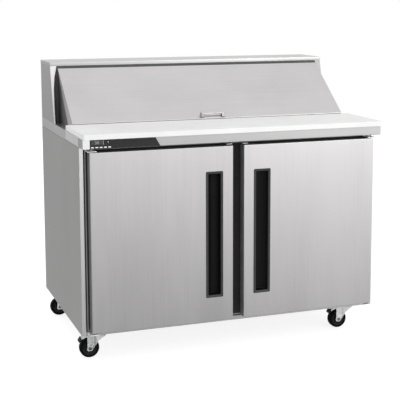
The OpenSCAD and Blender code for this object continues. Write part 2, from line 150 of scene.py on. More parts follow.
def brushed(name, color=(0.62, 0.608, 0.611), rough=0.34, grain="x", wear=0.02):
    """Stainless sheet with a directional grain, faint handling marks and slight waviness."""
    stretch = {"x": (6, 900, 900), "z": (900, 900, 6)}[grain]
    m = Mat(name, color, rough, 1.0)
    fine = m.noise(1.0, stretch, 2.0)
    coarse = m.noise(1.0, tuple(s * 0.35 for s in stretch), 2.0)
    cloud = m.noise(3.2, {"x": (0.8, 1, 1), "z": (1, 1, 0.22)}[grain], 3.0)
    mix = m.node("ShaderNodeMath", operation="ADD")
    m.link(m.remap(fine, 0.0, 0.5), mix.inputs[0])
    m.link(m.remap(coarse, 0.0, 0.5), mix.inputs[1])
    total = m.node("ShaderNodeMath", operation="ADD")
    m.link(mix.outputs[0], total.inputs[0])
    m.link(m.remap(cloud, -0.65, 0.65, 0.3, 0.7), total.inputs[1])
    swing = wear + 0.03
    m.tint(total.outputs[0], shade(color, 1 - swing), shade(color, 1 + swing), 0.0, 1.0)
    rmix = m.node("ShaderNodeMath", operation="ADD")
    m.link(m.remap(mix.outputs[0], -0.03, 0.03, 0.1, 0.9), rmix.inputs[0])
    m.link(m.remap(cloud, rough - 0.03, rough + 0.03), rmix.inputs[1])
    m.link(rmix.outputs[0], m.b.inputs["Roughness"])
    m.bump((fine, 0.000012), (m.noise(2.2, (1, 1, 1), 2.0), 0.0005))
    return m.m


def galvanised(name):
    m = Mat(name, (0.5, 0.52, 0.54), 0.42, 0.95)
    spangle = m.cells(190, out="Color")
    m.tint(spangle, (0.46, 0.475, 0.49), (0.56, 0.575, 0.59), 0.1, 0.9)
    m.roughness(m.noise(40), 0.07)
    m.bump((m.noise(180, detail=2), 0.00002))
    return m.m


def zinc(name, color=(0.56, 0.57, 0.58), rough=0.33):
    m = Mat(name, color, rough, 0.95)
    m.tint(m.noise(38, detail=5), shade(color, 0.82), shade(color, 1.1))
    m.roughness(m.noise(90, detail=4), 0.09)
    m.bump((m.noise(420, detail=3), 0.00003), (m.noise(60), 0.00008))
    return m.m


def aluminium(name, grain="z"):
    stretch = {"x": (5, 500, 500), "z": (500, 500, 5)}[grain]
    m = Mat(name, (0.64, 0.645, 0.65), 0.42, 0.9)
    fine = m.noise(1.0, stretch, 2.0)
    m.tint(fine, (0.61, 0.615, 0.62), (0.67, 0.675, 0.68))
    m.roughness(m.noise(6, detail=4), 0.05)
    m.bump((fine, 0.00001))
    return m.m


def moulded(name, color, rough, grain=700, depth=0.00003, **sockets):
    """Moulded plastic: fine spark-eroded texture, slight gloss variation, scuffs."""
    m = Mat(name, color, rough, 0.0, **sockets)
    m.tint(m.noise(14, detail=5), shade(color, 0.86), shade(color, 1.14))
    m.roughness(m.noise(30, detail=5), 0.06)
    m.bump((m.noise(grain, detail=2), depth), (m.noise(9), 0.0002))
    return m.m


def rubber(name, color=(0.0022, 0.0022, 0.0023), rough=0.6):
    m = Mat(name, color, rough, 0.0, Specular_IOR_Level=0.05)
    m.tint(m.noise(60, detail=6), shade(color, 0.8), shade(color, 1.35))
    m.roughness(m.noise(120, detail=4), 0.08)
    m.bump((m.noise(900, detail=2), 0.00003), (m.noise(70), 0.00008))
    return m.m


def polyethylene(name):
    """Cutting board: slightly translucent white with knife marks and a fine haircell face."""
    m = Mat(name, (0.645, 0.645, 0.642), 0.5, 0.0, Subsurface_Weight=0.06, Subsurface_Scale=0.004)
    cut = m.cells(1.0, (9, 140, 9), out="Distance")
    cut2 = m.cells(1.0, (150, 11, 9), out="Distance")
    m.tint(m.noise(5, detail=6), (0.615, 0.615, 0.612), (0.665, 0.665, 0.662))
    m.roughness(m.noise(50, detail=5), 0.06)
    m.bump((m.remap(cut, 0, 1, 0.0, 0.04), 0.00004), (m.remap(cut2, 0, 1, 0.0, 0.03), 0.00003),
           (m.noise(650, detail=2), 0.00003))
    return m.m


def foam(name):
    m = Mat(name, (0.78, 0.7, 0.5), 0.9, 0.0)
    m.tint(m.cells(260, out="Distance"), (0.7, 0.62, 0.42), (0.84, 0.77, 0.58), 0.0, 0.5)
    m.bump((m.cells(260, out="Distance"), 0.0003))
    return m.m


def painted(name, color, rough, peel=220, depth=0.00005):
    m = Mat(name, color, rough, 0.0, Coat_Weight=0.25, Coat_Roughness=0.15)
    m.tint(m.noise(11, detail=4), shade(color, 0.93), shade(color, 1.05))
    m.roughness(m.noise(45, detail=3), 0.05)
    m.bump((m.noise(peel, detail=2), depth))
    return m.m


def glowing(name, color, strength):
    m = Mat(name, shade(color, 0.4), 0.4, 0.0, Emission_Strength=strength)
    m.b.inputs["Emission Color"].default_value = (*color, 1)
    m.roughness(m.noise(300), 0.05)
    return m.m


STEEL_X = brushed("stainless_grain_x", grain="x")
STEEL_Z = brushed("stainless_grain_z", grain="z")
# darker copy of the stainless for faces that turn sideways: painted shade
STEEL_SIDE_SHADED = brushed("stainless_side_painted_shade", (0.46, 0.457, 0.452), 0.36, grain="z")
STEEL_BRIGHT = brushed("stainless_bright", (0.78, 0.78, 0.775), 0.26, grain="x")
# lighter copy of the stainless for returns, brackets and an end plate: painted highlight
STEEL_PAINTED_HIGHLIGHT = brushed("stainless_painted_highlight", (0.86, 0.86, 0.855), 0.3, grain="z")
# darker copy of the grain-x stainless for the apron: painted shade
STEEL_APRON_SHADED = brushed("stainless_apron_painted_shade", (0.5, 0.5, 0.497), 0.36, grain="x")
# dark copy of the stainless for the right column's front: a painted reflection of the lid
STEEL_COLUMN_REFLECTION = brushed("stainless_painted_lid_reflection", (0.25, 0.248, 0.245), 0.34, grain="z")
STEEL_SHELF = brushed("stainless_shelf", (0.56, 0.56, 0.555), grain="x")
# dark copy of the stainless for polished legs and nuts: painted dark reflection
STEEL_DARK_REFLECTION = brushed("stainless_painted_dark_reflection", (0.3, 0.3, 0.3), 0.14, grain="x")
PAN_STEEL = brushed("stainless_pan", (0.7, 0.7, 0.7), 0.22, grain="x", wear=0.06)
GALV = galvanised("galvanised_sheet")
ZINC = zinc("zinc_plate")
PIN = zinc("pin_steel", (0.42, 0.42, 0.43), 0.3)
# light zinc brightened past its own tone so the hinge plates read lit under the apron: painted highlight
PLATED_LIT = zinc("plate_painted_highlight", (0.9, 0.9, 0.895), 0.5)
LINER = aluminium("liner_aluminium")
COIL = aluminium("coil_aluminium", "x")
FOAM = foam("foam")
DARK = moulded("dark_trim_plastic", (0.095, 0.095, 0.097), 0.42)
JAMB = moulded("jamb_plastic", (0.022, 0.022, 0.023), 0.6, Specular_IOR_Level=0.15)
# lighter plastic for the jamb's bead: painted highlight
BEAD_HIGHLIGHT = moulded("jamb_bead", (0.2, 0.2, 0.205), 0.45)
# dark moulded plastic for the hood, darkened to paint the shade in its recess: partly its own colour, partly
# painted shade
HOOD_SHADED = moulded("hood_plastic_painted_shade", (0.072, 0.073, 0.075), 0.5)
HANDLE = moulded("handle_plastic", (0.0045, 0.0045, 0.0048), 0.4, 900, 0.00004, Specular_IOR_Level=0.1)
BEZEL = moulded("bezel_plastic", (0.026, 0.026, 0.026), 0.38, 900, 0.00004, Specular_IOR_Level=0.35)
PEDAL = moulded("pedal_plastic", (0.007, 0.007, 0.0075), 0.45, Specular_IOR_Level=0.2)
FAN = moulded("fan_plastic", (0.04, 0.04, 0.043), 0.45)
OVERLAY = moulded("overlay_film", (0.009, 0.009, 0.0095), 0.28, 1500, 0.00001, Coat_Weight=0.12,
                  Specular_IOR_Level=0.3)
GASKET = rubber("gasket_vinyl", (0.14, 0.14, 0.145), 0.55)
WHEEL = rubber("wheel_tread")
FORK = zinc("fork_plate", (0.89, 0.9, 0.9), 0.3)
HUB = moulded("wheel_hub", (0.006, 0.006, 0.0062), 0.45, Specular_IOR_Level=0.15)
BOARD = polyethylene("cutting_board_plastic")
COMP = painted("compressor_paint", (0.02, 0.02, 0.022), 0.35)
WIRE = painted("shelf_coating", (0.82, 0.83, 0.83), 0.35, 120, 0.0001)
COPPER = zinc("copper_tube", (0.72, 0.38, 0.24), 0.3)
LED = glowing("display_digits", (0.75, 0.8, 0.85), 0.25)
ICON = moulded("icon_ink", (0.75, 0.76, 0.78), 0.5)
WINDOW = moulded("display_window", (0.03, 0.03, 0.033), 0.12, 1500, 0.00001)

# ---------------------------------------------------------------- mesh helpers

NODE_BODY = {n: b for b, ns in frame["record"]["behaviour"]["bodies"].items() for n in ns}
NODE_SLOT = {s["node"]: s["material_slot"] for s in frame["record"]["subparts"]}


def span(node):
    """Lowest and highest corner of a CAD node, in millimetres."""
    lo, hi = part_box(node)
    return [round(v / MM, 2) for v in lo], [round(v / MM, 2) for v in hi]


def at(axis, a, b, t):
    """Point (metres) with t along the axis and a, b along the other two, in X Y Z order."""
    co = {"X": (t, a, b), "Y": (a, t, b), "Z": (a, b, t)}[axis]
    return [v * MM for v in co]


def piece(name, bm, body, mat, nodes=(), angle=32):
    """Turns a bmesh into a named piece on a body. Edges sharper than the angle stay crisp."""
    bmesh.ops.recalc_face_normals(bm, faces=bm.faces)
    mesh = bpy.data.meshes.new(name)
    bm.to_mesh(mesh)
    bm.free()
    obj = bpy.data.objects.new(name, mesh)
    scene.collection.objects.link(obj)
    mesh.materials.append(mat)
    mesh.shade_smooth()
    mesh.set_sharp_from_angle(angle=math.radians(angle))
    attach(obj, body)
    if nodes:
        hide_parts(*nodes)
    return obj


def bevelled(obj, width, segments=3, angle=30):
    mod = obj.modifiers.new("edges", "BEVEL")
    mod.width = width * MM
    mod.segments = segments
    mod.limit_method = "ANGLE"
    mod.angle_limit = math.radians(angle)
    mod.use_clamp_overlap = True
    return obj


def thickened(obj, gauge):
    """Gives a skin its sheet thickness, on the inner side."""
    mod = obj.modifiers.new("gauge", "SOLIDIFY")
    mod.thickness = gauge * MM
    mod.offset = -1


def refined(node, mat, width=0.4, segments=2):
    """A CAD node rebuilt with clean faces and broken edges."""
    bm = bmesh.new()
    bm.from_mesh(frame["nodes"][node].data)
    bmesh.ops.remove_doubles(bm, verts=bm.verts, dist=1e-6)
    bmesh.ops.dissolve_limit(bm, angle_limit=math.radians(0.5), verts=bm.verts, edges=bm.edges)
    return bevelled(piece(node + "_finished", bm, NODE_BODY[node], mat, (node,)),
                    width, segments)


def mirror_to(bm, side):
    """Left pieces stay as drawn; right ones are their mirror image."""
    if side == "right":
        for v in bm.verts:
            v.co.x = -v.co.x


def box(bm, lo, hi):
    """Box between two corners, in millimetres."""
    r = bmesh.ops.create_cube(bm, size=1.0)
    for v in r["verts"]:
        v.co = Vector([(lo[i] + (v.co[i] + 0.5) * (hi[i] - lo[i])) * MM for i in range(3)])


def rounded_rect(rect, r, seg):
    """Points round a rectangle (a0, b0, a1, b1) with rounded corners."""
    a0, b0, a1, b1 = rect
    r = max(r, 0.02)
    corners = ((a1 - r, b1 - r, 0), (a0 + r, b1 - r, 90), (a0 + r, b0 + r, 180), (a1 - r, b0 + r, 270))
    out = []
    for ca, cb, start in corners:
        for k in range(seg + 1):
            turn = math.radians(start + 90 * k / seg)
            out.append((ca + r * math.cos(turn), cb + r * math.sin(turn)))
    return out


def ring(bm, rect, r, t, axis, seg):
    """Loop of mesh points on a rounded rectangle, at t along the axis."""
    return [bm.verts.new(at(axis, a, b, t)) for a, b in rounded_rect(rect, r, seg)]


def skin_rings(bm, rings, closed=False, cap_first=True):
    """Faces between loops of points. A closed skin joins its last loop to its first."""
    n = len(rings[0])
    pairs = list(zip(rings, rings[1:])) + ([(rings[-1], rings[0])] if closed else [])
    for r0, r1 in pairs:
        for k in range(n):
            bm.faces.new((r0[k], r0[(k + 1) % n], r1[(k + 1) % n], r1[k]))
    if not closed and cap_first:
        bm.faces.new(rings[0])
    if not closed:
        bm.faces.new(rings[-1])


def shell(bm, levels, axis="Y", seg=5, closed=False):
    """Solid through rounded rectangles. Each level is (rect, corner radius, place on the axis)."""
    skin_rings(bm, [ring(bm, rect, r, t, axis, seg) for rect, r, t in levels], closed)


def inset(rect, d):
    return (rect[0] + d, rect[1] + d, rect[2] - d, rect[3] - d)


def frame_loop(bm, rect, corner, profile, seg):
    """Closed profile of (inset, place on Y) points swept round a rectangle."""
    shell(bm, [(inset(rect, d), corner - d, t) for d, t in profile], "Y", seg, closed=True)


def soft_box(bm, lo, hi, corner, edge, axis="Z", seg=6):
    """Box with rounded corners along one axis and softened rims."""
    i = "XYZ".index(axis)
    a, b = [k for k in range(3) if k != i]
    rect = (lo[a], lo[b], hi[a], hi[b])
    turns = [math.radians(90 * k / 4) for k in range(5)]
    rim = [(edge * (1 - math.sin(u)), edge * (1 - math.cos(u))) for u in turns]
    levels = [(inset(rect, d), corner - d, lo[i] + e) for d, e in rim]
    levels += [(inset(rect, d), corner - d, hi[i] - e) for d, e in reversed(rim)]
    shell(bm, levels, axis, seg)


def filleted(points, r, seg=5):
    """Polyline with its inner corners rounded."""
    pts = [Vector(p) for p in points]
    out = [pts[0]]
    for p, q, s in zip(pts, pts[1:], pts[2:]):
        u, v = (p - q).normalized(), (s - q).normalized()
        half = u.angle(v) / 2
        cut = r / math.tan(half)
        centre = q + (u + v).normalized() * (r / math.sin(half))
        start, end = q + u * cut - centre, q + v * cut - centre
        sweep = start.angle_signed(end)
        for k in range(seg + 1):
            turn = -sweep * k / seg
            c, w = math.cos(turn), math.sin(turn)
            out.append(centre + Vector((start.x * c - start.y * w, start.x * w + start.y * c)))
    return out + [pts[-1]]


def bent_sheet(bm, path, thick, axis, t0, t1):
    """Sheet whose outer face follows a 2D path and whose thickness goes to its left."""
    n = len(path)
    inner = []
    for i, p in enumerate(path):
        before = (p - path[i - 1]).normalized() if i else (path[1] - p).normalized()
        after = (path[i + 1] - p).normalized() if i < n - 1 else before
        mean = (before + after).normalized()
        left = Vector((-mean.y, mean.x))
        inner.append(p + left * (thick / max(0.3, mean.dot(before))))
    rows = [[bm.verts.new(at(axis, q.x, q.y, t)) for q in side] for side in (path, inner) for t in (t0, t1)]
    o0, o1, i0, i1 = rows
    for k in range(n - 1):
        for a, b in ((o0, o1), (i1, i0), (i0, o0), (o1, i1)):
            bm.faces.new((a[k], a[k + 1], b[k + 1], b[k]))
    for k in (0, n - 1):
        bm.faces.new((o0[k], o1[k], i1[k], i0[k]))


def rounded_loop(points, radii):
    """Closed outline with each corner rounded by its own radius."""
    pts = [Vector(p) for p in points]
    out = []
    for i, q in enumerate(pts):
        p, s = pts[i - 1], pts[(i + 1) % len(pts)]
        r = radii[i]
        if not r:
            out.append(q)
            continue
        out += filleted([p, q, s], r, 6)[1:-1]
    return out


def plate(bm, outline, axis, t0, t1):
    """Flat plate with the given outline between two places on an axis."""
    rings = [[bm.verts.new(at(axis, p[0], p[1], t)) for p in outline] for t in (t0, t1)]
    skin_rings(bm, rings)


def polygon(radius, count, a=0.0, b=0.0):
    """Corners of a regular polygon round (a, b)."""
    turns = [math.radians(360 / count * k) for k in range(count)]
    return [(a + radius * math.cos(w), b + radius * math.sin(w)) for w in turns]


def lathe(bm, profile, axis, centre, seg):
    """Turns a loop of (radius, along) points round an axis through centre."""
    i = "XYZ".index(axis)
    a, b = [k for k in range(3) if k != i]
    rings = []
    for r, h in profile:
        row = []
        for k in range(seg):
            turn = 2 * math.pi * k / seg
            co = [0.0] * 3
            co[i] = centre[i] + h
            co[a] = centre[a] + r * math.cos(turn)
            co[b] = centre[b] + r * math.sin(turn)
            row.append(bm.verts.new([x * MM for x in co]))
        rings.append(row)
    skin_rings(bm, rings, closed=True)


def wire(bm, points, radius, seg=8, closed=False):
    """Round wire through points in millimetres."""
    pts = [Vector(p) for p in points]
    n = len(pts)
    up = Vector((0.123, 0.277, 0.953))
    rings = []
    for i, p in enumerate(pts):
        before = pts[i - 1] if (i or closed) else p
        after = pts[(i + 1) % n] if (i < n - 1 or closed) else p
        along = (after - before).normalized()
        side = along.cross(up).normalized()
        up = side.cross(along).normalized()
        rings.append([bm.verts.new((p + side * (radius * math.cos(w)) + up * (radius * math.sin(w))) * MM)
                      for w in (2 * math.pi * k / seg for k in range(seg))])
    skin_rings(bm, rings, closed)


def open_sheet(node, mat, way):
    """Folded cover: the node's box as thin sheet, left open on the side that faces the given way."""
    bm = bmesh.new()
    box(bm, *span(node))
    bm.normal_update()
    bmesh.ops.delete(bm, geom=[f for f in bm.faces if f.normal.dot(way) > 0.5], context="FACES")
    edges = [e for e in bm.edges if len(e.link_faces) == 2]
    bmesh.ops.bevel(bm, geom=edges, offset=1.8 * MM, segments=4, profile=0.5, affect="EDGES")
    thickened(piece(node + "_sheet", bm, "cabinet", mat, (node,), 50), GAUGE)


# ---------------------------------------------------------------- cabinet shell


def side_panels():
    """Side sheets in a darker copy of the stainless, which paints shade on them; each front edge is a return,
    turned a little outward, in a lighter copy that paints a highlight on it.
    """
    lo, hi = span("left_side_panel")
    for side in ("left", "right"):
        bm = bmesh.new()
        path = [Vector((lo[0], hi[1])), Vector((lo[0], lo[1] + 3.8))]
        bent_sheet(bm, path, GAUGE, "Z", lo[2], hi[2])
        mirror_to(bm, side)
        piece(side + "_side_sheet", bm, "cabinet", STEEL_SIDE_SHADED, (side + "_side_panel",), 40)
        bm = bmesh.new()
        # the return is drawn in the lighter copy of the stainless: a painted highlight along the front edge
        path = filleted([(lo[0], lo[1] + 3.8), (lo[0], lo[1] + 2.2), (hi[0], lo[1] + 0.1),
                         (hi[0], lo[1] + 4)], 1.1)
        bent_sheet(bm, path, GAUGE, "Z", lo[2], hi[2])
        mirror_to(bm, side)
        piece(side + "_side_return", bm, "cabinet", STEEL_PAINTED_HIGHLIGHT, (), 40)


def board_brackets():
    """The skirts under the worktop, with the bracket that carries the board's end, in a lighter copy of the
    stainless that paints a highlight on it.
    """
    lo, hi = span("worktop_skirts")
    apron_back = span("front_apron")[1][1]
    board_back = span("cutting_board")[1][1]
    deck_lo, deck_hi = span("worktop_deck")
    for side in ("left", "right"):
        bm = bmesh.new()
        box(bm, (deck_lo[0], apron_back, lo[2]), (deck_lo[0] + GAUGE, hi[1], deck_hi[2] - GAUGE))
        mirror_to(bm, side)
        bevelled(piece(side + "_skirt_sheet", bm, "cabinet", STEEL_Z), 0.3)
        bm = bmesh.new()
        box(bm, (lo[0], apron_back + 0.5, 830), (deck_lo[0] - 0.05, board_back - 4, hi[2]))
        mirror_to(bm, side)
        bevelled(piece(side + "_board_bracket", bm, "cabinet", STEEL_PAINTED_HIGHLIGHT, ("worktop_skirts",)), 0.3)
    bm = bmesh.new()
    box(bm, (-deck_hi[0] + GAUGE, hi[1] - GAUGE, lo[2]), (deck_hi[0] - GAUGE, hi[1], deck_hi[2] - GAUGE))
    bevelled(piece("rear_skirt_sheet", bm, "cabinet", STEEL_X), 0.3)


def jamb():
    """Breaker strip round the door opening, with a raised bead all the way round, in a lighter plastic that
    paints a highlight along it.
    """
    lo, hi = span("jamb_trim")
    rect = (lo[0], lo[2], hi[0], hi[2])
    front, back = lo[1], hi[1]
    bm = bmesh.new()
    width = 42
    profile = [(0.4, back), (0.4, front + 1.4), (1.2, front + 0.8), (4.4, front + 0.8), (5.0, front + 1.8),
               (9.0, front + 1.8), (9.6, front + 1.2), (width - 10, front + 1.2), (width - 3, front + 1.6),
               (width, front + 4), (width, back)]
    frame_loop(bm, rect, 0.2, profile, seg=1)
    bead = bmesh.new()
    frame_loop(bead, inset(rect, 5.0), 3.0, [(0, front + 1.9), (0, front + 0.4), (0.7, front + 0.05),
                                             (3.3, front + 0.05), (4, front + 0.4), (4, front + 1.9)], seg=4)
    # the bead's lighter plastic paints a highlight along it
    piece("jamb_bead", bead, "cabinet", BEAD_HIGHLIGHT, (), 40)
    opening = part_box("center_mullion")
    for z0, z1 in ((lo[2] + width, opening[0].z / MM), (opening[1].z / MM, hi[2] - width)):
        if z1 > z0:
            box(bm, (lo[0] + width, front + 1.2, z0), (hi[0] - width, back, z1))
    piece("jamb_frame", bm, "cabinet", JAMB, ("jamb_trim",), 30)


def mullion():
    lo, hi = span("center_mullion")
    bm = bmesh.new()
    soft_box(bm, lo, hi, 1.0, 2.0, "Y", 3)
    for x in (-28, 28):
        box(bm, (x - 3, lo[1] + 0.1, lo[2] + 10), (x + 3, lo[1] + 1, hi[2] - 10))
    piece("mullion_post", bm, "cabinet", JAMB, ("center_mullion",), 40)


side_panels()
# the apron is drawn in the darker stainless copy: painted shade
open_sheet("front_apron", STEEL_APRON_SHADED, Vector((0, 1, 0)))
board_brackets()
jamb()
mullion()
refined("bottom_panel", STEEL_X, 0.5)
refined("rear_panel", GALV, 0.35)
for n in ("insulation_left", "insulation_right", "insulation_floor", "insulation_back",
          "worktop_insulation"):
    refined(n, FOAM, 1.5)
refined("inner_liner", LINER, 0.4)
refined("worktop_deck", STEEL_X, 0.3)

# ---------------------------------------------------------------- control panel


def control_panel():
    """Dark film with a digital display, a lamp and five keys, all generic."""
    lo = span("control_overlay")[0]
    refined("control_overlay", OVERLAY, 0.3)
    face = lo[1]

    def flat(name, boxes, mat, proud, soft):
        bm = bmesh.new()
        for x0, z0, x1, z1 in boxes:
            soft_box(bm, (lo[0] + x0, face - proud, lo[2] + z0), (lo[0] + x1, face + 0.1, lo[2] + z1),
                     soft, 0.12, "Y", 4)
        piece(name, bm, "cabinet", mat, (), 40)

    bm = bmesh.new()
    # the end plate's lighter stainless paints a highlight on the apron's left corner
    soft_box(bm, (-609.6, face + 1.1, 826.3), (lo[0] - 0.5, face + 1.7, 861.6), 2.5, 0.2, "Y", 4)
    piece("control_end_plate", bm, "cabinet", STEEL_PAINTED_HIGHLIGHT, (), 40)
    flat("display_window", [(4, 15, 48, 30)], WINDOW, 0.3, 1.5)
    flat("display_frame", [(49.4, 14, 50.2, 31)], ICON, 0.4, 0.2)
    keys = [(4 + 16 * i, 3.2, 14.5 + 16 * i, 6.8) for i in range(5)]
    flat("control_keys", keys, ICON, 0.5, 1.2)
    flat("status_lamp", [(66, 22, 69.5, 25.5)], ICON, 0.6, 1.7)
    digits = {"3": "abcdg", "8": "abcdefg"}
    bars = {"a": (1, 9, 5, 9.9), "b": (5.1, 5.2, 6, 9), "c": (5.1, 1, 6, 4.8), "d": (1, 0.1, 5, 1),
            "e": (0, 1, 0.9, 4.8), "f": (0, 5.2, 0.9, 9), "g": (1, 4.55, 5, 5.45)}
    lit = []
    for i, d in enumerate("38"):
        for b in digits[d]:
            x0, z0, x1, z1 = bars[b]
            lit.append((18 + 9 * i + x0, 17.5 + z0, 18 + 9 * i + x1, 17.5 + z1))
    flat("display_digits", lit, LED, 0.4, 0.3)


control_panel()

# ---------------------------------------------------------------- food pans


def pans():
    """Six pressed pans with a rolled rim and a stacking step."""
    for i in range(1, 7):
        node = "pan_%d" % i
        lo, hi = span(node)
        rim = (lo[0], lo[1], hi[0], hi[1])
        mouth = inset(rim, 10)
        foot = inset(rim, 20)
        top, bottom = hi[2], lo[2]
        levels = [(inset(rim, 0.6), 9, top - 2.0), (rim, 9.6, top - 1.4),
                  (inset(rim, 0.4), 9.2, top - 0.4), (inset(rim, 1.4), 8.6, top),
                  (inset(mouth, -2), 12, top), (inset(mouth, -0.4), 13, top - 1.2),
                  (mouth, 14, top - 4), (inset(mouth, 1.5), 15, top - 24),
                  (inset(mouth, 3.4), 15, top - 25), (foot, 17, bottom + 10),
                  (inset(foot, 3), 15, bottom + 4), (inset(foot, 9), 12, bottom + 0.8),
                  (inset(foot, 14), 9, bottom + 0.8)]
        bm = bmesh.new()
        rings = [ring(bm, rect, r, t, "Z", 6) for rect, r, t in levels]
        skin_rings(bm, rings, cap_first=False)
        thickened(piece(node + "_pressing", bm, "cabinet", PAN_STEEL, (node,), 50), 0.8)


pans()

# ---------------------------------------------------------------- riser, shelf and hood

open_sheet("top_shelf", STEEL_SHELF, Vector((0, 0, -1)))
# columns in the darker side copy (painted shade); faces that look forward take a second material, on the
# right a dark copy painted as the lid's reflection, on the left plain grain-z stainless
for side, front in (("left", STEEL_Z), ("right", STEEL_COLUMN_REFLECTION)):
    column = refined(side + "_column", STEEL_SIDE_SHADED, 0.5, 3)
    column.data.materials.append(front)
    for face in column.data.polygons:
        if face.normal.y < -0.3:
            face.material_index = 1
# hood shell in the dark plastic that also paints the recess's shade
refined("hood_shell", HOOD_SHADED, 0.8, 3)
refined("riser_rear_cover", GALV, 0.3)

# ---------------------------------------------------------------- lid

LID_TOP = Vector((0, 180, 1084)) * MM
LID_FOOT = Vector((0, -84, 886)) * MM


def on_lid(bm):
    """Takes points drawn as (across, out of the lid's face, down the slope) onto the closed lid."""
    down = (LID_FOOT - LID_TOP).normalized()
    out = Vector((0, down.z, -down.y))
    for v in bm.verts:
        x, o, a = v.co
        v.co = LID_TOP + Vector((x, 0, 0)) + out * o + down * a


def lid_handle():
    """Flat strap with rounded ends on two polished legs, whose feet reach the lid's lower edge; the legs are
    in a dark copy of the stainless, a painted dark reflection.
    """
    half = span("lid_handle")[1][0]
    start, end, stand = 296.2, 319.3, 15.9
    rings = [(0.9, stand - 2.6), (0.2, stand - 2.3), (0.0, stand - 1.6), (0.3, stand - 0.9),
             (1.4, stand - 0.3), (3.4, stand)]
    bm = bmesh.new()
    shell(bm, [((2 - half + d, start + 0.8 + d, half - 2 - d, end - 0.8 - d), 10.6 - d, o)
               for d, o in rings], "Y", 8)
    on_lid(bm)
    piece("lid_handle_strap", bm, "lid", STEEL_X, ("lid_handle",), 40)
    bm = bmesh.new()
    soft_box(bm, (15 - half, 3.5, end - 2.4), (half - 15, stand - 1.2, end - 0.8), 0.7, 0.3, "Z", 3)
    on_lid(bm)
    piece("lid_handle_lip", bm, "lid", STEEL_X, (), 40)
    bm = bmesh.new()
    leg = rounded_loop([(0, 308), (0, 328), (3.4, 328), (stand - 1.6, 318.4), (stand - 1.6, 303)],
                       (2, 1, 2.5, 2, 2))
    for x in (8.5 - half, half - 8.5):
        plate(bm, leg, "X", x - 6.5, x + 6.5)
    on_lid(bm)
    bevelled(piece("lid_handle_legs", bm, "lid", STEEL_DARK_REFLECTION, (), 50), 2.2, 4, 60)


refined("lid_panel", STEEL_X, 0.5, 3)
refined("lid_liner", LINER, 2.5, 4)
lid_handle()
bm = bmesh.new()
soft_box(bm, (-576, -83.6, 882.15), (576, -80.5, 884.4), 0.5, 0.3, "Z", 2)
piece("lid_edge_seal", bm, "lid", GASKET, (), 40)

# ---------------------------------------------------------------- cutting board

bm = bmesh.new()
soft_box(bm, *span("cutting_board"), 6, 2.4)
piece("cutting_board_slab", bm, "board", BOARD, ("cutting_board",), 50)

# ---------------------------------------------------------------- doors


